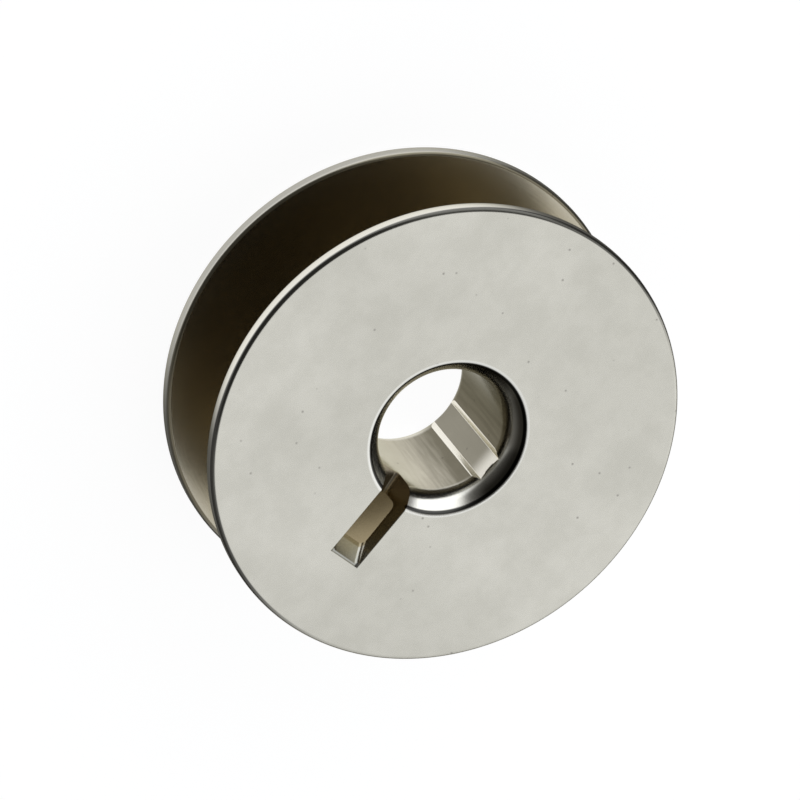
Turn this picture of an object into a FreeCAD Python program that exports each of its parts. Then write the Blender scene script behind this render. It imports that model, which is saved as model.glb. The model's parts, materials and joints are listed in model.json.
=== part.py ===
"""Metal bobbin of a sewing machine: two thin flanges on a hollow barrel, turned in one piece.

The bobbin stands on its plain flange with the bore upright and the slotted flange on top.
The slot runs out along +X.
"""
import FreeCAD, Part
import math
import os
import Sketcher
from FreeCAD import Placement, Rotation, Vector

NODE = "bobbin"

# Driving dimensions, in millimetres and degrees, each with what it measures
SIZES = {
    "flange_diameter": (22.6, "across both flanges"),
    "overall_width": (7.7, "outer face to outer face"),
    "rim_thickness": (0.75, "flange at its rim"),
    "root_thickness": (0.95, "flange where it meets the barrel"),
    "rim_round": (0.25, "radius on the four edges of the rims"),
    "barrel_diameter": (8.2, "core that the thread is wound on"),
    "root_fillet": (0.35, "radius between barrel and flange"),
    "bore_diameter": (6.1, "hole for the winder's spindle"),
    "bore_chamfer": (0.75, "45 degree lead-in at both ends of the bore"),
    "throat_round": (1.2, "radius between lead-in and bore"),
    "mouth_round": (0.34, "radius between lead-in and outer face"),
    "slot_width": (1.65, "thickness of the disc that cuts the slot"),
    "slot_reach": (7.3, "axis of the bore to the slot's end on the top face"),
    "slot_depth": (2.5, "top face to the lowest point of the slot's curved floor"),
    "slot_offset": (0.2, "middle of the slot beside the axis of the bore"),
    "cutter_diameter": (13.5, "disc that cuts the slot and leaves its floor curved"),
    "keyway_width": (1.22, "flat floor of the keyway in the bore"),
    "keyway_depth": (0.08, "bore's wall to the middle of the keyway's floor"),
    "keyway_flare": (45, "lean of the keyway's two sides"),
    "keyway_angle": (88, "turn from the slot to the keyway, seen from above"),
}

# Points of a sketch's geometry, and the sketch's own origin and level axis
START, END, CENTRE = 1, 2, 3
ORIGIN = (-1, 1)
LEVEL_AXIS = -1


def add_sheet(doc):
    sheet = doc.addObject("Spreadsheet::Sheet", "sizes")
    for row, (name, (size, meaning)) in enumerate(SIZES.items(), start=1):
        sheet.set(f"A{row}", meaning)
        sheet.set(f"B{row}", str(size))
        sheet.setAlias(f"B{row}", name)
    doc.recompute()
    return sheet


def add_sketch(body, name, plane_role):
    """A sketch on one of the body's own origin planes."""
    plane = next(item for item in body.Origin.OriginFeatures if item.Role == plane_role)
    sketch = body.newObject("Sketcher::SketchObject", name)
    sketch.AttachmentSupport = [(plane, "")]
    sketch.MapMode = "FlatFace"
    return sketch


def tie(sketch, kind, *members):
    sketch.addConstraint(Sketcher.Constraint(kind, *members))


def dimension(sketch, name, formula, kind, *members):
    """Add a named dimension and bind it to a formula over the sheet."""
    index = sketch.addConstraint(Sketcher.Constraint(kind, *members))
    sketch.renameConstraint(index, name)
    sketch.setExpression(f"Constraints.{name}", formula)


def draw_polygon(sketch, corners):
    """Close a polygon whose sides are named by the corner they leave, and return their numbers."""
    points = [Vector(*corner) for corner in corners.values()]
    sides = [Part.LineSegment(a, b) for a, b in zip(points, points[1:] + points[:1])]
    sketch.addGeometry(sides, False)
    for side in range(len(sides)):
        tie(sketch, "Coincident", side, END, (side + 1) % len(sides), START)
    return {name: number for number, name in enumerate(corners)}


def round_corner(sketch, side, name, formula, radius):
    """Round the corner that a side leaves, with the sharp corner kept as a point for the dimensions."""
    arc = sketch.GeometryCount
    sketch.fillet(side, START, radius, True, True)
    dimension(sketch, name, formula, "Radius", arc, radius)


def add_turned_blank(doc, body, sizes):
    """Turn the half section: two round-edged flanges with tapered inner faces, barrel and chamfered bore."""
    rim = sizes.flange_diameter / 2
    barrel = sizes.barrel_diameter / 2
    bore = sizes.bore_diameter / 2
    mouth = bore + sizes.bore_chamfer
    top = sizes.overall_width
    section = add_sketch(body, "half_section", "XZ_Plane")
    side = draw_polygon(section, {
        "foot_face": (mouth, 0),
        "lower_rim": (rim, 0),
        "lower_taper": (rim, sizes.rim_thickness),
        "barrel": (barrel, sizes.root_thickness),
        "upper_taper": (barrel, top - sizes.root_thickness),
        "upper_rim": (rim, top - sizes.rim_thickness),
        "top_face": (rim, top),
        "top_chamfer": (mouth, top),
        "bore": (bore, top - sizes.bore_chamfer),
        "foot_chamfer": (bore, sizes.bore_chamfer),
    })
    for name in ("foot_face", "top_face"):
        tie(section, "Horizontal", side[name])
    for name in ("lower_rim", "barrel", "upper_rim", "bore"):
        tie(section, "Vertical", side[name])
    tie(section, "PointOnObject", side["foot_face"], START, LEVEL_AXIS)
    tie(section, "Vertical", side["lower_rim"], END, side["upper_rim"], START)
    tie(section, "Vertical", side["foot_face"], START, side["top_chamfer"], START)
    tie(section, "Equal", side["foot_chamfer"], side["top_chamfer"])
    dimension(section, "rim_radius", "sizes.flange_diameter / 2",
              "DistanceX", *ORIGIN, side["lower_rim"], START, rim)
    dimension(section, "barrel_radius", "sizes.barrel_diameter / 2",
              "DistanceX", *ORIGIN, side["barrel"], START, barrel)
    dimension(section, "bore_radius", "sizes.bore_diameter / 2",
              "DistanceX", *ORIGIN, side["bore"], START, bore)
    dimension(section, "width", "sizes.overall_width",
              "DistanceY", *ORIGIN, side["top_face"], START, top)
    for name in ("lower_rim", "upper_rim"):
        dimension(section, f"{name}_height", "sizes.rim_thickness",
                  "DistanceY", side[name], START, side[name], END, sizes.rim_thickness)
    dimension(section, "lower_root", "sizes.root_thickness",
              "DistanceY", *ORIGIN, side["barrel"], START, sizes.root_thickness)
    dimension(section, "upper_root", "sizes.root_thickness",
              "DistanceY", side["barrel"], END, side["top_face"], START, sizes.root_thickness)
    dimension(section, "chamfer_across", "sizes.bore_chamfer",
              "DistanceX", side["foot_chamfer"], START, side["foot_chamfer"], END, sizes.bore_chamfer)
    dimension(section, "chamfer_along", "sizes.bore_chamfer",
              "DistanceY", side["foot_chamfer"], END, side["foot_chamfer"], START, sizes.bore_chamfer)
    for corner in ("lower_rim", "lower_taper", "upper_rim", "top_face"):
        round_corner(section, side[corner], f"{corner}_round", "sizes.rim_round", sizes.rim_round)
    for corner in ("barrel", "upper_taper"):
        round_corner(section, side[corner], f"{corner}_fillet", "sizes.root_fillet", sizes.root_fillet)
    for corner in ("bore", "foot_chamfer"):
        round_corner(section, side[corner], f"{corner}_throat", "sizes.throat_round", sizes.throat_round)
    for corner in ("foot_face", "top_chamfer"):
        round_corner(section, side[corner], f"{corner}_mouth", "sizes.mouth_round", sizes.mouth_round)
    blank = body.newObject("PartDesign::Revolution", "turned_blank")
    blank.Profile = section
    blank.ReferenceAxis = (section, ["V_Axis"])
    blank.Angle = 360
    doc.recompute()
    return blank


def cut_slot(doc, body, sizes):
    """Sink a disc cutter through the top flange into the barrel, so that the floor curves up to the face."""
    radius = sizes.cutter_diameter / 2
    height = sizes.overall_width - sizes.slot_depth + radius
    half_chord = math.sqrt(sizes.slot_depth * (sizes.cutter_diameter - sizes.slot_depth))
    across = sizes.slot_reach - half_chord
    outline = add_sketch(body, "cutter_outline", "XZ_Plane")
    outline.setExpression("AttachmentOffset.Base.z", "sizes.slot_offset")
    disc = outline.addGeometry(Part.Circle(Vector(across, height), Vector(0, 0, 1), radius), False)
    dimension(outline, "cutter", "sizes.cutter_diameter", "Diameter", disc, sizes.cutter_diameter)
    dimension(outline, "cutter_across",
              "sizes.slot_reach - sqrt(sizes.slot_depth * (sizes.cutter_diameter - sizes.slot_depth))",
              "DistanceX", *ORIGIN, disc, CENTRE, across)
    dimension(outline, "cutter_height",
              "sizes.overall_width - sizes.slot_depth + sizes.cutter_diameter / 2",
              "DistanceY", *ORIGIN, disc, CENTRE, height)
    slot = body.newObject("PartDesign::Pocket", "drive_slot")
    slot.Profile = outline
    slot.Type = "Length"
    slot.SideType = "Symmetric"
    slot.setExpression("Length", "sizes.slot_width")
    doc.recompute()
    return slot


def cut_keyway(doc, body, sizes):
    """Broach a shallow groove with a flat floor and leaning sides along the whole bore."""
    floor_across = sizes.bore_diameter / 2 + sizes.keyway_depth
    inner_across = sizes.bore_diameter / 4
    floor_half = sizes.keyway_width / 2
    inner_half = floor_half + (floor_across - inner_across) * math.tan(math.radians(sizes.keyway_flare))
    outline = add_sketch(body, "keyway_outline", "XY_Plane")
    outline.AttachmentOffset = Placement(Vector(), Rotation(Vector(0, 0, 1), sizes.keyway_angle))
    outline.setExpression("AttachmentOffset.Rotation.Angle", "sizes.keyway_angle * 1 deg")
    side = draw_polygon(outline, {
        "floor": (floor_across, -floor_half),
        "left_flank": (floor_across, floor_half),
        "inside": (inner_across, inner_half),
        "right_flank": (inner_across, -inner_half),
    })
    for name in ("floor", "inside"):
        tie(outline, "Symmetric", side[name], START, side[name], END, LEVEL_AXIS)
    dimension(outline, "floor_across", "sizes.bore_diameter / 2 + sizes.keyway_depth",
              "DistanceX", *ORIGIN, side["floor"], START, floor_across)
    dimension(outline, "floor_width", "sizes.keyway_width",
              "DistanceY", side["floor"], START, side["floor"], END, sizes.keyway_width)
    dimension(outline, "inside_across", "sizes.bore_diameter / 4",
              "DistanceX", *ORIGIN, side["inside"], START, inner_across)
    flare_run = "(sizes.bore_diameter / 4 + sizes.keyway_depth) * tan(sizes.keyway_flare)"
    dimension(outline, "inside_width", f"sizes.keyway_width + 2 * {flare_run}",
              "DistanceY", side["inside"], END, side["inside"], START, 2 * inner_half)
    keyway = body.newObject("PartDesign::Pocket", "keyway")
    keyway.Profile = outline
    keyway.Type = "ThroughAll"
    keyway.Reversed = True
    doc.recompute()
    return keyway


def check(doc, body, stages):
    """Stop unless every feature is sound and each cut took metal away."""
    for item in doc.Objects:
        if "Invalid" in item.State or "Error" in item.State:
            raise RuntimeError(f"{item.Label} failed: {item.State}")
    for before, after in zip(stages, stages[1:]):
        if after.Shape.Volume >= before.Shape.Volume:
            raise RuntimeError(f"{after.Label} cut nothing")
    if body.Shape.isNull() or not body.Shape.isValid() or len(body.Shape.Solids) != 1:
        raise RuntimeError(f"{body.Label} is not one sound solid")


def main():
    doc = FreeCAD.newDocument("sewing_machine_bobbin")
    sizes = add_sheet(doc)
    body = doc.addObject("PartDesign::Body", NODE)
    body.Label = NODE
    body.Placement = Placement(Vector(0, 0, 0), Rotation())
    blank = add_turned_blank(doc, body, sizes)
    slot = cut_slot(doc, body, sizes)
    keyway = cut_keyway(doc, body, sizes)
    check(doc, body, [blank, slot, keyway])
    os.makedirs("parts", exist_ok=True)
    body.Shape.exportStep(os.path.join("parts", f"{body.Label}.step"))
    print(f"{body.Label}: {body.Shape.Volume:.2f} cubic mm")


main()
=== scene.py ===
import json
import math

import bpy
from mathutils import Euler, Matrix, Vector


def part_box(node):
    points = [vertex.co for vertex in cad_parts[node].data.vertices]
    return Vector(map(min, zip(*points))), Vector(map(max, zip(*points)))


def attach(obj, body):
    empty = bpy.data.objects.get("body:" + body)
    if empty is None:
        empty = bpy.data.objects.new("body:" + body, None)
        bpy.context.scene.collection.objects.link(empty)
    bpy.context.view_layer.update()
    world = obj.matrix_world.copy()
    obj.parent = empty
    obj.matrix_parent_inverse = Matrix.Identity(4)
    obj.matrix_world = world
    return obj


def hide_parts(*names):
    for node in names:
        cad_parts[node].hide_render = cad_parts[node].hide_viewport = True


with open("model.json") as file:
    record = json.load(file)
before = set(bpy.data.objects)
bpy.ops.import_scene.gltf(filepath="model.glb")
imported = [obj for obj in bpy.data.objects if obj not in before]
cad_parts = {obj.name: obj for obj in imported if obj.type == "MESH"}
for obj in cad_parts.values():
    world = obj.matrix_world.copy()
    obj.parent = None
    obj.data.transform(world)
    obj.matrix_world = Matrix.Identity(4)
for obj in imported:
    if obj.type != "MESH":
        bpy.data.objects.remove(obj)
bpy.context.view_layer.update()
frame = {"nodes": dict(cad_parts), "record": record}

boxLow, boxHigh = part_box("bobbin")
mounts = {mount["name"]: mount for mount in frame["record"]["mounts"]}
mm = 0.001
quarterTurn = math.pi / 2
print("frame loaded:", sorted(frame["nodes"]))


def addNode(tree, kind, **settings):
    node = tree.nodes.new(kind)
    for name, value in settings.items():
        setattr(node, name, value)
    return node


def plug(tree, socket, source):
    # link an output socket to an input, or set the input's value
    if isinstance(source, bpy.types.NodeSocket):
        tree.links.new(source, socket)
    else:
        socket.default_value = source


def feed(tree, node, **sources):
    for name, source in sources.items():
        plug(tree, node.inputs[name.replace("_", " ")], source)


def addObject(name, data):
    thing = bpy.data.objects.new(name, data)
    bpy.context.scene.collection.objects.link(thing)
    return thing


def towards(azimuth, elevation=0):
    a, e = math.radians(azimuth), math.radians(elevation)
    return Vector((math.cos(a) * math.cos(e), math.sin(a) * math.cos(e), math.sin(e)))


def cosines(angles):
    return [math.cos(math.radians(angle)) for angle in angles]


def mathNode(tree, operation, *sources):
    node = addNode(tree, "ShaderNodeMath", operation=operation)
    for socket, source in zip(node.inputs, sources):
        plug(tree, socket, source)
    return node.outputs["Value"]


def times(tree, first, *others):
    for other in others:
        first = mathNode(tree, "MULTIPLY", first, other)
    return first


def outside(tree, mask, share=1.0):
    # 1 outside the mask, and less by that share inside it
    return mathNode(tree, "MULTIPLY_ADD", mask, -share, 1.0)


def dotWith(tree, vector, direction):
    node = addNode(tree, "ShaderNodeVectorMath", operation="DOT_PRODUCT")
    for socket, source in zip(node.inputs, (vector, direction)):
        plug(tree, socket, source)
    return node.outputs["Value"]


def noise(tree, vector, size, **settings):
    node = addNode(tree, "ShaderNodeTexNoise")
    feed(tree, node, Vector=vector, Scale=1 / size, **settings)
    return node.outputs["Fac"]


def mixColours(tree, share, first, second, blend="MIX"):
    node = addNode(tree, "ShaderNodeMix", data_type="RGBA", blend_type=blend)
    for index, source in zip((0, 6, 7), (share, first, second)):    # factor and the two colours
        plug(tree, node.inputs[index], source)
    return node.outputs[2]


def mixShaders(tree, share, first, second):
    node = addNode(tree, "ShaderNodeMixShader")
    for socket, source in zip(node.inputs, (share, first, second)):
        plug(tree, socket, source)
    return node.outputs["Shader"]


def ramp(tree, value, fromMin, fromMax, toMin=0.0, toMax=1.0):
    node = addNode(tree, "ShaderNodeMapRange", interpolation_type="SMOOTHSTEP")
    feed(tree, node, Value=value, From_Min=fromMin, From_Max=fromMax, To_Min=toMin, To_Max=toMax)
    return node.outputs["Result"]


def colourRamp(tree, value, stops):
    # stops are (value, colour), lowest first
    low, high = stops[0][0], stops[-1][0]
    node = addNode(tree, "ShaderNodeValToRGB")
    elements = node.color_ramp.elements
    elements.remove(elements[1])
    for index, (at, colour) in enumerate(stops):
        position = (at - low) / (high - low)
        element = elements.new(position) if index else elements[0]
        element.position, element.color = position, colour
    scaled = addNode(tree, "ShaderNodeMapRange")
    feed(tree, scaled, Value=value, From_Min=low, From_Max=high)
    feed(tree, node, Fac=scaled.outputs["Result"])
    return node.outputs["Color"]


# bobbin, sizes in mm and degrees; the outside, the bore and the slot's place come from the frame
bobbin = {
    "rimRadius": (boxHigh.x - boxLow.x) / 2 / mm,
    "width": (boxHigh.z - boxLow.z) / mm,
    "rimThick": 0.75,
    "rootThick": 0.95,
    "rimRound": 0.25,
    "barrelRadius": 4.1,
    "rootFillet": 0.35,
    "boreRadius": mounts["bore"]["dims"]["r_mm"],
    "chamfer": 0.75,
    "mouthBreak": 0.34,      # edge between chamfer and face
    "throatRound": 1.2,      # edge between chamfer and bore
    "slotWidth": 1.65,
    "slotReach": 7.3,
    "slotDepth": 2.5,
    "slotOffset": -mounts["drive_slot"]["pos_m"][1] / mm,
    "slotBreak": 0.02,       # edge between slot and face
    "cutterRadius": 6.75,
    "cutterRim": 3.0,        # depth of the cutter that is modelled
    "cutterCorner": 0.25,    # worn corners of the cutter, which round the slot's inside
    "flareSpare": 0.1,       # how far the cut at the slot's edge starts above and ends below it
    "keywayWidth": 1.22,
    "keywayDepth": 0.08,
    "keywayFlare": 45,
    "keywayAngle": 88,
    "keywayOverrun": 1.0,    # how far its cutter sticks out at both ends
    "stepsAround": 256,
    "stepsPerRound": 8,
    "cutterSteps": 192,
    "sharpFrom": 30,
}


def sectionCorners(b):
    # half section as (radius, height, round), once around
    mouth = b["boreRadius"] + b["chamfer"]
    top = b["width"]
    lower = [
        (mouth, 0, b["mouthBreak"]),
        (b["rimRadius"], 0, b["rimRound"]),
        (b["rimRadius"], b["rimThick"], b["rimRound"]),
        (b["barrelRadius"], b["rootThick"], b["rootFillet"]),
    ]
    upper = [(radius, top - height, turn) for radius, height, turn in reversed(lower)]
    throat = [
        (b["boreRadius"], top - b["chamfer"], b["throatRound"]),
        (b["boreRadius"], b["chamfer"], b["throatRound"]),
    ]
    return lower + upper + throat


def sectionLoop(b):
    # loop of edges in the XY plane, out from the wall of the bore; the sweep turns its -Y to +Z
    corners = sectionCorners(b)
    mesh = bpy.data.meshes.new("halfSection")
    points = [(radius - b["boreRadius"], -height, 0) for radius, height, _ in corners]
    edges = [(i, (i + 1) % len(points)) for i in range(len(points))]
    mesh.from_pydata(points, edges, [])
    turns = mesh.attributes.new("cornerRound", "FLOAT", "POINT")
    turns.data.foreach_set("value", [turn for _, _, turn in corners])
    return mesh


def turningTree():
    # sweeps the half section round the bore, then takes out the slot, its edges and the keyway
    tree = bpy.data.node_groups.new("turnedBobbin", "GeometryNodeTree")
    sockets = {}

    def newInput(label, kind):
        sockets[label] = tree.interface.new_socket(label, in_out="INPUT", socket_type=kind).identifier

    newInput("Half Section", "NodeSocketGeometry")
    for label in ("Steps Around", "Steps Per Round", "Cutter Steps"):
        newInput(label, "NodeSocketInt")
    for label in ("Bore Radius", "Cutter Middle", "Cutter Rim", "Cutter Corner", "Slot Width",
                  "Flare Floor", "Flare Mouth", "Flare Height",
                  "Keyway Floor", "Keyway Mouth", "Keyway Height"):
        newInput(label, "NodeSocketFloat")
    for label in ("Cutter Place", "Flare Place", "Flare End", "Keyway Place", "Keyway Turn", "Keyway Foot",
                  "Keyway Top"):
        newInput(label, "NodeSocketVector")
    newInput("Plating", "NodeSocketMaterial")
    tree.interface.new_socket("Bobbin", in_out="OUTPUT", socket_type="NodeSocketGeometry")

    given = addNode(tree, "NodeGroupInput").outputs
    outline = addNode(tree, "GeometryNodeMeshToCurve")
    turns = addNode(tree, "GeometryNodeInputNamedAttribute", data_type="FLOAT")
    rounded = addNode(tree, "GeometryNodeFilletCurve", mode="POLY")
    circle = addNode(tree, "GeometryNodeCurvePrimitiveCircle")
    blank = addNode(tree, "GeometryNodeCurveToMesh")
    feed(tree, outline, Mesh=given["Half Section"])
    feed(tree, turns, Name="cornerRound")
    feed(tree, rounded, Curve=outline.outputs["Curve"], Count=given["Steps Per Round"],
         Radius=turns.outputs["Attribute"], Limit_Radius=True)
    feed(tree, circle, Resolution=given["Steps Around"], Radius=given["Bore Radius"])
    feed(tree, blank, Curve=circle.outputs["Curve"], Profile_Curve=rounded.outputs["Curve"])

    # rim of the disc cutter, turned on its side
    cutterOutline = addNode(tree, "GeometryNodeCurvePrimitiveQuadrilateral", mode="RECTANGLE")
    cutterRounded = addNode(tree, "GeometryNodeFilletCurve", mode="POLY")
    cutterCircle = addNode(tree, "GeometryNodeCurvePrimitiveCircle")
    disc = addNode(tree, "GeometryNodeCurveToMesh")
    discPlace = addNode(tree, "GeometryNodeTransform")
    feed(tree, cutterOutline, Width=given["Cutter Rim"], Height=given["Slot Width"])
    feed(tree, cutterRounded, Curve=cutterOutline.outputs["Curve"], Count=given["Steps Per Round"],
         Radius=given["Cutter Corner"])
    feed(tree, cutterCircle, Resolution=given["Cutter Steps"], Radius=given["Cutter Middle"])
    feed(tree, disc, Curve=cutterCircle.outputs["Curve"], Profile_Curve=cutterRounded.outputs["Curve"])
    feed(tree, discPlace, Geometry=disc.outputs["Mesh"], Translation=given["Cutter Place"],
         Rotation=Euler((quarterTurn, 0, 0)))

    def addBar(topWidth, bottomWidth, barHeight, lineStart, lineEnd):
        # bar with leaning sides along a line, its top towards +Y
        outline = addNode(tree, "GeometryNodeCurvePrimitiveQuadrilateral", mode="TRAPEZOID")
        line = addNode(tree, "GeometryNodeCurvePrimitiveLine")
        bar = addNode(tree, "GeometryNodeCurveToMesh")
        feed(tree, outline, Bottom_Width=bottomWidth, Top_Width=topWidth, Height=barHeight, Offset=0.0)
        feed(tree, line, Start=lineStart, End=lineEnd)
        feed(tree, bar, Curve=line.outputs["Curve"], Profile_Curve=outline.outputs["Curve"], Fill_Caps=True)
        return bar.outputs["Mesh"]

    flarePlace = addNode(tree, "GeometryNodeTransform")
    feed(tree, flarePlace, Translation=given["Flare Place"], Rotation=Euler((quarterTurn, 0, quarterTurn)),
         Geometry=addBar(given["Flare Mouth"], given["Flare Floor"], given["Flare Height"],
                         Vector((0, 0, 0)), given["Flare End"]))
    keyPlace = addNode(tree, "GeometryNodeTransform")
    feed(tree, keyPlace, Translation=given["Keyway Place"], Rotation=given["Keyway Turn"],
         Geometry=addBar(given["Keyway Floor"], given["Keyway Mouth"], given["Keyway Height"],
                         given["Keyway Foot"], given["Keyway Top"]))

    cut = addNode(tree, "GeometryNodeMeshBoolean", operation="DIFFERENCE", solver="EXACT")
    toMetres = addNode(tree, "GeometryNodeTransform")
    realized = addNode(tree, "GeometryNodeRealizeInstances")
    plated = addNode(tree, "GeometryNodeSetMaterial")
    result = addNode(tree, "NodeGroupOutput")
    feed(tree, cut, Mesh_1=blank.outputs["Mesh"])
    for cutter in (keyPlace, discPlace, flarePlace):
        tree.links.new(cutter.outputs["Geometry"], cut.inputs["Mesh 2"])
    feed(tree, toMetres, Geometry=cut.outputs["Mesh"], Scale=(mm, mm, mm))
    feed(tree, realized, Geometry=toMetres.outputs["Geometry"])
    feed(tree, plated, Geometry=realized.outputs["Geometry"], Material=given["Plating"])
    feed(tree, result, Bobbin=plated.outputs["Geometry"])
    return tree, sockets


def plainMesh(piece):
    # the evaluated piece as a mesh with no modifiers
    bpy.context.view_layer.update()
    depsgraph = bpy.context.evaluated_depsgraph_get()
    return bpy.data.meshes.new_from_object(piece.evaluated_get(depsgraph), depsgraph=depsgraph)


def makeBobbin(b, plating):
    tree, sockets = turningTree()
    piece = addObject("plated_bobbin", sectionLoop(b))
    halfChord = math.sqrt(b["slotDepth"] * (2 * b["cutterRadius"] - b["slotDepth"]))
    spare = b["flareSpare"]
    flareHeight = b["slotBreak"] + 2 * spare
    keyHeight = b["boreRadius"] / 2 + b["keywayDepth"]    # from halfway out to the keyway's floor
    keyTurn = math.radians(b["keywayAngle"])
    keyMiddle = b["boreRadius"] + b["keywayDepth"] - keyHeight / 2
    values = {
        "Steps Around": b["stepsAround"],
        "Steps Per Round": b["stepsPerRound"],
        "Cutter Steps": b["cutterSteps"],
        "Bore Radius": b["boreRadius"],
        "Cutter Middle": b["cutterRadius"] - b["cutterRim"] / 2,
        "Cutter Rim": b["cutterRim"],
        "Cutter Corner": b["cutterCorner"],
        "Slot Width": b["slotWidth"],
        "Cutter Place": (b["slotReach"] - halfChord, -b["slotOffset"],
                         b["width"] - b["slotDepth"] + b["cutterRadius"]),
        "Flare Floor": b["slotWidth"] - 2 * spare,
        "Flare Mouth": b["slotWidth"] + 2 * (b["slotBreak"] + spare),
        "Flare Height": flareHeight,
        "Flare Place": (b["boreRadius"], -b["slotOffset"], b["width"] + spare - flareHeight / 2),
        "Flare End": (0, 0, b["slotReach"] - b["boreRadius"]),
        "Keyway Floor": b["keywayWidth"],
        "Keyway Mouth": b["keywayWidth"] + 2 * keyHeight * math.tan(math.radians(b["keywayFlare"])),
        "Keyway Height": keyHeight,
        "Keyway Place": (keyMiddle * math.cos(keyTurn), keyMiddle * math.sin(keyTurn), 0),
        "Keyway Turn": (0, 0, keyTurn - quarterTurn),
        "Keyway Foot": (0, 0, -b["keywayOverrun"]),
        "Keyway Top": (0, 0, b["width"] + b["keywayOverrun"]),
        "Plating": plating,
    }
    modifier = piece.modifiers.new("turning", "NODES")
    modifier.node_group = tree
    for label, value in values.items():
        modifier[sockets[label]] = value
    cutMesh = plainMesh(piece)
    piece.modifiers.remove(modifier)
    piece.data = cutMesh
    print("bobbin cut:", len(cutMesh.vertices), "points,", len(cutMesh.polygons), "faces")

    # flat faces keep flat shading beside the rounds
    cutMesh.shade_smooth()
    cutMesh.set_sharp_from_angle(angle=math.radians(b["sharpFrom"]))
    weighted = piece.modifiers.new("flatFaces", "WEIGHTED_NORMAL")
    weighted.keep_sharp = True
    shadedMesh = plainMesh(piece)
    piece.modifiers.remove(weighted)
    piece.data = shadedMesh
    return piece


# nickel plate, lengths in mm and sides in degrees; a tint covers the colour below it, a shade darkens it,
# and a pair of steps says where a mask starts and where it is full
nickel = {
    "paleTint": (0.66, 0.635, 0.555, 1),
    "dullTint": (0.61, 0.587, 0.51, 1),
    "mottleSize": 1.4,
    "noiseSpan": (0.3, 0.7),                 # where most of a noise lies
    "noiseMiddle": 0.5,
    "cloudShade": (0.92, 0.92, 0.915, 1),    # broad dull patches
    "cloudSize": 9.0,
    "cloudSpan": (0.65, 0.35),
    "speckTint": (0.36, 0.34, 0.30, 1),
    "speckSpacing": 1.1,
    "speckRadius": 0.09,
    "speckCore": 0.2,                        # share of the radius that is darkest
    "threadShade": (0.74, 0.665, 0.515, 1),  # painted brown shade between the flanges
    "threadDark": (0.60, 0.535, 0.41, 1),    # painted shade, darker on one side
    "threadTowards": -80,
    "threadFade": (0.35, 0.9),
    "threadEdge": (-0.04, 0.04),             # in from the rims' inner edges
    "threadStart": (-0.3, -0.1),             # out from the barrel
    "oilShade": (0.86, 0.80, 0.70, 1),       # painted shade on the lower flange's inner face under the slot
    "oilTowards": 26,
    "oilFade": (0.7, 0.94),
    "oilReach": (9.4, 8.5),
    "oilRise": 0.1,                          # above the lower flange
    "slotShades": [                          # painted shade inside the slot, along it outwards
        (3.0, (0.50, 0.44, 0.37, 1)),
        (4.4, (0.56, 0.515, 0.42, 1)),
        (5.6, (0.64, 0.60, 0.49, 1)),
        (6.5, (0.78, 0.78, 0.78, 1)),
        (7.3, (0.62, 0.63, 0.64, 1)),
    ],
    "slotStart": 0.9,                        # share of the bore's radius
    "slotTop": (0.01, 0.06),                 # down from the face
    "slotSideSpare": 0.02,
    "slotFloorSpare": 0.05,
    "stainTowards": 170,                     # side where the painted shade in the bore is darkest
    "boreShades": [                          # round the bore, towards the painted shade
        (-1.0, (1.0, 1.0, 0.98, 1)),
        (-0.75, (0.95, 0.93, 0.90, 1)),
        (-0.25, (0.30, 0.285, 0.25, 1)),
        (0.45, (0.24, 0.225, 0.19, 1)),
        (0.8, (0.10, 0.09, 0.07, 1)),
        (1.0, (0.08, 0.07, 0.055, 1)),
    ],
    "boreSkin": (0.35, 0.15),                # out from the bore
    "boreEnd": (-0.95, -0.35),               # in from the throat
    "streakWidth": 0.2,
    "streakLength": 3.0,
    "streakShift": (0.07, -0.07),
    "floorEdge": (0.02, -0.01),              # of the keyway
    "floorSpare": 0.02,
    "floorClean": 0.25,                      # share of the painted bore shade that is left off it
    "burnishTint": (0.95, 0.92, 0.84, 1),    # painted highlight on the keyway's leaning sides and front end
    "burnishEnd": (2.2, 0.9),
    "burnishShare": 0.7,
    "sideSpan": (1.2, 0.22),                 # middle and reach of a leaning side, in half widths
    "sideSpare": 0.03,
    "leadTint": (0.78, 0.76, 0.69, 1),       # painted light on the bore's lead-in
    "leadEdge": (0.08, 0.02),                # out from the mouth
    "leadStart": (0.05, -0.25),              # in from the throat
    "leadShade": (0.10, 0.095, 0.085, 1),    # and painted shade on one side, most at the lip
    "leadTowards": 135,
    "leadSide": (0.1, 0.5),
    "leadFade": (0.8, 0.2),
    "lipShade": (0.07, 0.07, 0.07, 1),       # painted dark line round the lip
    "lipLine": (-0.15, 0.0),
    "lipSoft": 0.03,
    "lipDepth": (0.3, 0.2),
    "mouthTint": (0.80, 0.78, 0.71, 1),      # painted highlight round the bore's mouth
    "mouthEdge": (0.16, 0.08),
    "mouthDepth": (0.06, 0.01),
    "rimTint": (0.82, 0.80, 0.73, 1),        # painted highlight on the rims
    "rimEdge": (-0.09, -0.03),
    "rimShade": (0.18, 0.18, 0.18, 1),       # with a painted dark line along the slotted flange's outer edge
    "rimLine": (26, 77),                     # degrees round the edge
    "rimLineSoft": (8.6, 6.9),
    "edgeShade": (0.30, 0.28, 0.23, 1),      # painted shade on the rims' inner edges
    "edgeStart": (0.0, 0.05),
    "edgeSpan": (-0.7, -0.2),                # in rounds of the rim
    "rimTowards": -105,                      # side where the painted shade on the rims is darkest
    "rimFade": (-0.5, 0.1),
    "faceDepth": (0.03, 0.005),
    "grainSize": 0.09,
    "grainHeight": 0.0009,
    "threadSmooth": 0.8,                     # share of the grain that the thread has rubbed off
    "turningPitch": 0.05,
    "turningHeight": 0.0008,
    "tumbleShare": 0.8,                      # share of the turning marks that tumbling took off the faces
    "edgeOnTint": (0.80, 0.78, 0.69, 1),     # what is left of the gloss at a low angle
    "turnedRough": 0.19,
    "threadRough": 0.25,
    "faceRough": 0.27,
    "roughSpread": 0.07,
}


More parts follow.
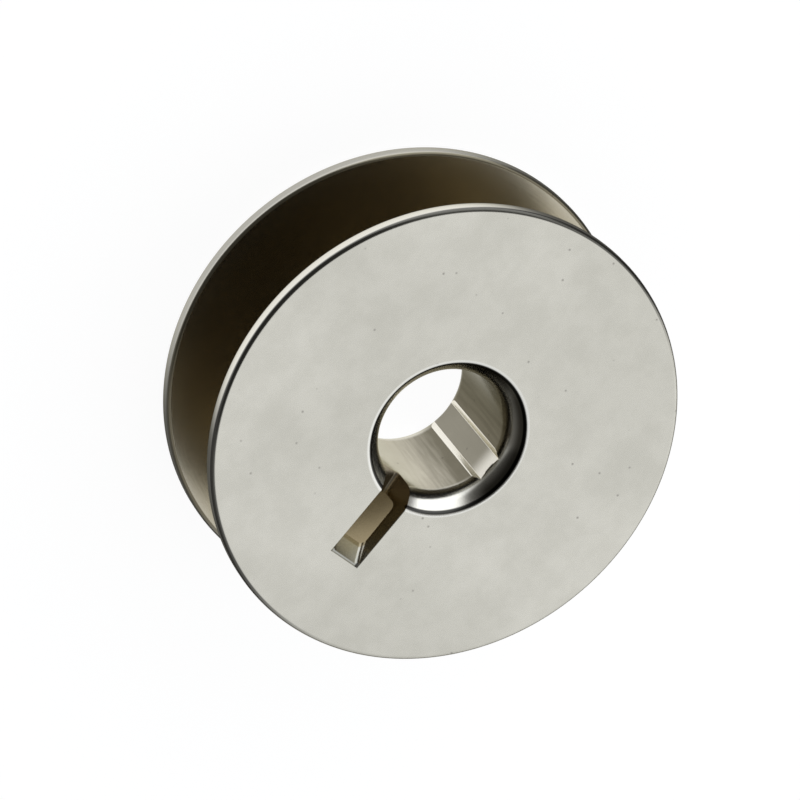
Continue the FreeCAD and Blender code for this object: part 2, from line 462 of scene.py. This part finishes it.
def makeNickel(n, b):
    material = bpy.data.materials.new("nickel_plate")
    material.use_nodes = True
    tree = material.node_tree
    tree.nodes.clear()
    scaled = addNode(tree, "ShaderNodeVectorMath", operation="SCALE")
    feed(tree, scaled, Vector=addNode(tree, "ShaderNodeTexCoord").outputs["Object"], Scale=1 / mm)
    inMm = scaled.outputs["Vector"]
    split = addNode(tree, "ShaderNodeSeparateXYZ")
    feed(tree, split, Vector=inMm)
    along, beside, height = (split.outputs[axis] for axis in "XYZ")
    across = mathNode(tree, "SQRT", mathNode(
        tree, "ADD", mathNode(tree, "POWER", along, 2), mathNode(tree, "POWER", beside, 2)))
    middle = b["width"] / 2
    fromMiddle = mathNode(tree, "ABSOLUTE", mathNode(tree, "SUBTRACT", height, middle))

    def beyond(radius, steps):
        # fades in between two steps out from a radius
        return ramp(tree, across, *(radius + step for step in steps))

    def below(depth, steps):
        # fades in between two steps further in from a depth under the outer faces
        return ramp(tree, fromMiddle, *(middle - depth - step for step in steps))

    def side(azimuth, radius):
        # 1 on the side that is meant, at that radius, and -1 opposite
        return mathNode(tree, "DIVIDE", dotWith(tree, inMm, towards(azimuth)), radius)

    # the two outer faces are tumbled to a satin, the rest is as it was turned
    onFace = below(0, n["faceDepth"])
    inThread = times(tree, below(b["rimThick"], n["threadEdge"]),
                     beyond(b["barrelRadius"], n["threadStart"]))
    # painted shade between the flanges, darker on one side
    threadShading = mixColours(tree, ramp(tree, side(n["threadTowards"], across), *n["threadFade"]),
                         n["threadShade"], n["threadDark"])
    # painted shade on the lower flange's inner face, on the slot's side
    underSlotShading = times(tree, ramp(tree, side(n["oilTowards"], across), *n["oilFade"]),
                  beyond(0, n["oilReach"]), inThread,
                  mathNode(tree, "LESS_THAN", height, b["rootThick"] + n["oilRise"]))
    # the slot's inside, which takes painted shade
    inSlot = times(
        tree, mathNode(tree, "COMPARE", beside, -b["slotOffset"], b["slotWidth"] / 2 + n["slotSideSpare"]),
        mathNode(tree, "GREATER_THAN", along, b["boreRadius"] * n["slotStart"]),
        mathNode(tree, "LESS_THAN", along, b["slotReach"]),
        mathNode(tree, "GREATER_THAN", height, b["width"] - b["slotDepth"] - n["slotFloorSpare"]),
        ramp(tree, height, *(b["width"] - depth for depth in n["slotTop"])))

    # the keyway's floor, and the painted highlights along its leaning sides and its front end
    turned = addNode(tree, "ShaderNodeVectorRotate", rotation_type="Z_AXIS")
    feed(tree, turned, Vector=inMm, Angle=-math.radians(b["keywayAngle"]))
    onKeyway = addNode(tree, "ShaderNodeSeparateXYZ")
    feed(tree, onKeyway, Vector=turned.outputs["Vector"])
    outwards, sideways = onKeyway.outputs["X"], mathNode(tree, "ABSOLUTE", onKeyway.outputs["Y"])
    half, floorAt = b["keywayWidth"] / 2, b["boreRadius"] + b["keywayDepth"]
    lean = math.tan(math.radians(b["keywayFlare"]))
    onFloor = times(tree, ramp(tree, sideways, *(half + step for step in n["floorEdge"])),
                    mathNode(tree, "COMPARE", outwards, floorAt, n["floorSpare"]))
    leaning = mathNode(tree, "MULTIPLY_ADD", outwards, lean, sideways)    # the same all over a leaning side
    onSides = times(tree, mathNode(tree, "COMPARE", leaning, floorAt * lean + half, n["sideSpare"]),
                    mathNode(tree, "COMPARE", sideways, *(half * share for share in n["sideSpan"])))
    endFrom, endTo = (b["width"] - depth for depth in n["burnishEnd"])
    atEnd = times(tree, onFloor, ramp(tree, height, endFrom, endTo, 0.0, n["burnishShare"]))
    # painted highlight on the leaning sides and the floor's front end
    keywayHighlightMask = mathNode(tree, "MAXIMUM", onSides, atEnd)

    # the bore with its lead-in, lip and mouth
    mouth = b["boreRadius"] + b["chamfer"]
    throat = b["chamfer"] + b["throatRound"] * math.tan(math.pi / 8)    # depth where it starts to open
    inBore = times(tree, beyond(b["boreRadius"], n["boreSkin"]), below(throat, n["boreEnd"]))
    inMouth = beyond(mouth, n["leadEdge"])
    # side of the lead-in that takes painted shade, most at the lip
    shadedSide = ramp(tree, side(n["leadTowards"], mouth), *n["leadSide"])
    # painted light on the lead-in, except in the slot and on the shaded side
    onLead = times(tree, inMouth, below(throat, n["leadStart"]),
                   outside(tree, inSlot), outside(tree, shadedSide))
    leadShading = times(tree, shadedSide, inMouth, below(0, n["leadFade"]))
    # painted dark line round the lip
    lipFrom, lipTo = n["lipLine"]
    onLip = times(tree, beyond(mouth, (lipFrom - n["lipSoft"], lipFrom + n["lipSoft"])),
                  beyond(mouth, (lipTo + n["lipSoft"], lipTo - n["lipSoft"])), below(0, n["lipDepth"]))
    # painted highlight round the mouth
    onMouth = times(tree, beyond(mouth, n["mouthEdge"]), below(0, n["mouthDepth"]))

    # the rims; the painted dark line is set by the angle round the outer edge, from level to upright
    # painted highlight on the rims
    onRim = beyond(b["rimRadius"], n["rimEdge"])
    rimShare = ramp(tree, side(n["rimTowards"], b["rimRadius"]), *n["rimFade"])
    roundFrom = b["rimRadius"] - b["rimRound"]
    edgeUp = mathNode(tree, "SUBTRACT", fromMiddle, middle - b["rimRound"])
    edgeOut = mathNode(tree, "SUBTRACT", across, roundFrom)
    edgeTurn = mathNode(tree, "ARCTAN2", edgeUp, mathNode(tree, "MAXIMUM", edgeOut, 0.0))
    lineFrom, lineTo, softFrom, softTo = (math.radians(angle) for angle in n["rimLine"] + n["rimLineSoft"])
    # painted dark line along the slotted flange's outer edge, on one side
    onRimLine = times(tree, ramp(tree, edgeTurn, lineFrom - softFrom, lineFrom + softFrom),
                      ramp(tree, edgeTurn, lineTo + softTo, lineTo - softTo),
                      mathNode(tree, "GREATER_THAN", edgeUp, 0.0),
                      mathNode(tree, "GREATER_THAN", height, middle), rimShare)
    # painted shade on the rims' inner edges, on one side
    onEdge = times(tree, beyond(roundFrom, n["edgeStart"]),
                   below(b["rimThick"], [b["rimRound"] * share for share in n["edgeSpan"]]), rimShare)

    mottle = noise(tree, inMm, n["mottleSize"], Detail=4.0, Roughness=0.6)
    cloud = noise(tree, inMm, n["cloudSize"], Detail=2.0)
    grain = noise(tree, inMm, n["grainSize"], Detail=2.0)
    rings = addNode(tree, "ShaderNodeCombineXYZ")
    feed(tree, rings, X=across, Y=height)
    turning = noise(tree, rings.outputs["Vector"], n["turningPitch"], Detail=2.0)
    specks = addNode(tree, "ShaderNodeTexVoronoi")
    feed(tree, specks, Vector=inMm, Scale=1 / n["speckSpacing"])
    speckSize = n["speckRadius"] / n["speckSpacing"]
    speck = ramp(tree, specks.outputs["Distance"], speckSize, speckSize * n["speckCore"])

    # painted shade on one side of the bore, drawn out in streaks along it
    stretch = addNode(tree, "ShaderNodeVectorMath", operation="MULTIPLY")
    feed(tree, stretch, Vector=inMm)
    stretch.inputs[1].default_value = (1, 1, n["streakWidth"] / n["streakLength"])
    streaks = noise(tree, stretch.outputs["Vector"], n["streakWidth"], Detail=3.0)
    boreShadeAt = mathNode(tree, "ADD", side(n["stainTowards"], b["boreRadius"]),
                       ramp(tree, streaks, *n["noiseSpan"], *n["streakShift"]))
    # painted shade in the bore, darkest on one side, lighter on the keyway's floor
    inBoreShade = times(tree, inBore, outside(tree, onFloor, n["floorClean"]))

    tint = mixColours(tree, ramp(tree, mottle, *n["noiseSpan"]), n["dullTint"], n["paleTint"])
    layers = [
        (ramp(tree, cloud, *n["cloudSpan"]), n["cloudShade"], "MULTIPLY"),
        (speck, n["speckTint"], "MIX"),
        (inThread, threadShading, "MULTIPLY"),
        (underSlotShading, n["oilShade"], "MULTIPLY"),
        (inSlot, colourRamp(tree, along, n["slotShades"]), "MULTIPLY"),
        (inBoreShade, colourRamp(tree, boreShadeAt, n["boreShades"]), "MULTIPLY"),
        (keywayHighlightMask, n["burnishTint"], "MIX"),
        (onLead, n["leadTint"], "MIX"),
        (leadShading, n["leadShade"], "MULTIPLY"),
        (onMouth, n["mouthTint"], "MIX"),
        (onLip, n["lipShade"], "MULTIPLY"),
        (onRim, n["rimTint"], "MIX"),
        (onRimLine, n["rimShade"], "MULTIPLY"),
        (onEdge, n["edgeShade"], "MULTIPLY"),
    ]
    for mask, colour, blend in layers:
        tint = mixColours(tree, mask, tint, colour, blend)

    rough = ramp(tree, onFace, 0, 1, n["turnedRough"], n["faceRough"])
    rough = ramp(tree, inThread, 0, 1, rough, n["threadRough"])
    grainStep = mathNode(tree, "SUBTRACT", grain, n["noiseMiddle"])
    rough = mathNode(tree, "MULTIPLY_ADD", grainStep, n["roughSpread"], rough)

    turningBump = addNode(tree, "ShaderNodeBump")
    feed(tree, turningBump, Strength=1.0, Distance=n["turningHeight"] * mm,
         Height=times(tree, turning, outside(tree, onFace, n["tumbleShare"])))
    grainBump = addNode(tree, "ShaderNodeBump")
    feed(tree, grainBump, Strength=1.0, Distance=n["grainHeight"] * mm,
         Height=times(tree, grain, outside(tree, inThread, n["threadSmooth"])),
         Normal=turningBump.outputs["Normal"])

    metal = addNode(tree, "ShaderNodeBsdfPrincipled")
    feed(tree, metal, Base_Color=tint, Metallic=1.0, Roughness=rough, Specular_Tint=n["edgeOnTint"],
         Normal=grainBump.outputs["Normal"])
    result = addNode(tree, "ShaderNodeOutputMaterial")
    feed(tree, result, Surface=metal.outputs["BSDF"])
    return material


plating = makeNickel(nickel, bobbin)
platedBobbin = makeBobbin(bobbin, plating)
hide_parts("bobbin")
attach(platedBobbin, "root")
print("bobbin plated")

# floor that reads as white paper and keeps a soft shadow, in metres and degrees
floorPaper = {
    "size": 3.0,
    "tone": (0.9, 0.9, 0.9, 1),
    "glow": 1.085,
    "cameraShare": 0.85,     # share of the glow that the camera sees, the rest is lit paper
    "boreReach": (0.45, 0.35),    # in rim radii
    "boreGlow": 0.045,       # more glow under the bore
    "boreMirror": 0.85,      # and what the bore's wall mirrors of it
    "mirrorGlow": (0.12, 1.0),    # least and most that the metal mirrors
    "mirrorSide": -110,      # where it is brightest
    "mirrorReach": (76, 32),
    "farReach": (70, 45),    # and again on the far side
    "farShare": 0.3,
    "footReach": (0.0012, 0.0042),    # shade close to the rim
    "footLeast": 0.5,
}


def makeFloor(f):
    half = f["size"] / 2
    corners = [(-half, -half, 0), (half, -half, 0), (half, half, 0), (-half, half, 0)]
    mesh = bpy.data.meshes.new("floorPaper")
    mesh.from_pydata(corners, [], [(0, 1, 2, 3)])
    material = bpy.data.materials.new("floor_paper")
    material.use_nodes = True
    tree = material.node_tree
    tree.nodes.clear()
    path = addNode(tree, "ShaderNodeLightPath").outputs
    seen = mathNode(tree, "MAXIMUM", path["Is Camera Ray"], path["Is Transmission Ray"])
    glowShare = mathNode(tree, "MULTIPLY_ADD", seen, f["cameraShare"], path["Is Glossy Ray"])

    # what the metal mirrors is a painted glow: bright on one side and a little on the far side, with
    # painted shade at the rim's foot, and bright inside the bore
    place = addNode(tree, "ShaderNodeTexCoord").outputs["Object"]
    bearing = addNode(tree, "ShaderNodeVectorMath", operation="NORMALIZE")
    feed(tree, bearing, Vector=place)
    side = dotWith(tree, bearing.outputs["Vector"], towards(f["mirrorSide"]))
    awayLength = addNode(tree, "ShaderNodeVectorMath", operation="LENGTH")
    feed(tree, awayLength, Vector=place)
    away, rim = awayLength.outputs["Value"], boxHigh.x
    farFrom, farTo = cosines(f["farReach"])
    sides = mathNode(tree, "ADD", ramp(tree, side, *cosines(f["mirrorReach"])),
                     ramp(tree, side, -farFrom, -farTo, 0.0, f["farShare"]))
    foot = ramp(tree, away, *(rim + reach for reach in f["footReach"]), f["footLeast"], 1.0)
    underBore = ramp(tree, away, *(rim * reach for reach in f["boreReach"]))
    lit = mathNode(tree, "MAXIMUM", times(tree, sides, foot), times(tree, underBore, f["boreMirror"]))
    least, most = (glow - f["glow"] for glow in f["mirrorGlow"])
    mirrored = times(tree, path["Is Glossy Ray"], ramp(tree, lit, 0, 1, least, most))
    direct = mathNode(tree, "MULTIPLY_ADD", underBore, f["boreGlow"], f["glow"])

    paper = addNode(tree, "ShaderNodeBsdfDiffuse")
    feed(tree, paper, Color=f["tone"])
    white = addNode(tree, "ShaderNodeEmission")
    feed(tree, white, Strength=mathNode(tree, "ADD", mirrored, direct))
    result = addNode(tree, "ShaderNodeOutputMaterial")
    feed(tree, result, Surface=mixShaders(tree, glowShare, paper.outputs["BSDF"],
                                          white.outputs["Emission"]))
    mesh.materials.append(material)
    floor = addObject("floor", mesh)
    floor.location.z = boxLow.z


makeFloor(floorPaper)
print("floor laid")

# white tent, black cards that give the metal its dark outlines, and one soft lamp, in degrees and metres
studio = {
    "tentColour": (0.975, 1.0, 1.045, 1),
    "tentStrength": 1.0,
    "brightSide": (180, 10),
    "brightShare": 0.34,
    "cards": [
        {"at": (-88, 52), "reach": (36, 50), "tone": 0.15},     # where the camera stands
        {"at": (-20, 10), "reach": (22, 36), "tone": 0.42},
        {"at": (163, 60), "reach": (10, 22), "tone": 0.3},
        {"at": (147, 5), "reach": (17, 26), "tone": 0.15},
    ],
    "lampAt": (-164, 18),
    "lampFar": 0.35,
    "lampSize": (0.35, 0.24),
    "lampGlow": 0.25,
}


def makeStudio(s, centre):
    world = bpy.data.worlds.new("studioTent")
    bpy.context.scene.world = world
    world.use_nodes = True
    tree = world.node_tree
    tree.nodes.clear()
    direction = addNode(tree, "ShaderNodeTexCoord").outputs["Generated"]

    def facing(place):
        return dotWith(tree, direction, towards(*place))

    colour = s["tentColour"]
    for card in s["cards"]:
        near, far = cosines(card["reach"])
        tone = (card["tone"],) * 3 + (1,)
        colour = mixColours(tree, ramp(tree, facing(card["at"]), far, near), colour, tone)
    strength = mathNode(tree, "MULTIPLY_ADD", facing(s["brightSide"]), s["brightShare"], s["tentStrength"])
    surround = addNode(tree, "ShaderNodeBackground")
    feed(tree, surround, Color=colour, Strength=strength)
    paper = addNode(tree, "ShaderNodeBackground")    # what the camera sees past the floor
    feed(tree, paper, Color=(1, 1, 1, 1), Strength=1.0)
    onCamera = addNode(tree, "ShaderNodeLightPath").outputs["Is Camera Ray"]
    result = addNode(tree, "ShaderNodeOutputWorld")
    feed(tree, result, Surface=mixShaders(tree, onCamera, surround.outputs["Background"],
                                          paper.outputs["Background"]))

    lampData = bpy.data.lights.new("softLamp", "AREA")
    lampData.shape = "RECTANGLE"
    lampData.size, lampData.size_y = s["lampSize"]
    lampData.energy = math.pi * lampData.size * lampData.size_y * s["lampGlow"]
    lamp = addObject("softLamp", lampData)
    aim = towards(*s["lampAt"])
    lamp.location = centre + aim * s["lampFar"]
    lamp.rotation_euler = aim.to_track_quat("Z", "Y").to_euler()


makeStudio(studio, (boxLow + boxHigh) / 2)
print("studio lit")

# camera as the photograph was taken, in degrees, metres and mm of lens
shot = {
    "azimuth": -103.2,
    "elevation": 58.209,
    "roll": 141.034,
    "distance": 0.18802,
    "aim": (0.000382, -0.001011, 0.00385),
    "lens": 183.789,
    "sensor": 36,
    "clipStart": 0.01,
}


def makeCamera(c):
    data = bpy.data.cameras.new("camera")
    data.lens, data.sensor_width = c["lens"], c["sensor"]
    data.clip_start = c["clipStart"]
    camera = addObject("camera", data)
    back = towards(c["azimuth"], c["elevation"])
    level = back.to_track_quat("Z", "Y").to_matrix().to_4x4()
    turn = level @ Matrix.Rotation(math.radians(c["roll"]), 4, "Z")
    camera.matrix_world = Matrix.Translation(Vector(c["aim"]) + back * c["distance"]) @ turn
    bpy.context.scene.camera = camera


makeCamera(shot)
bpy.context.scene.view_settings.view_transform = "Standard"
print("camera set")
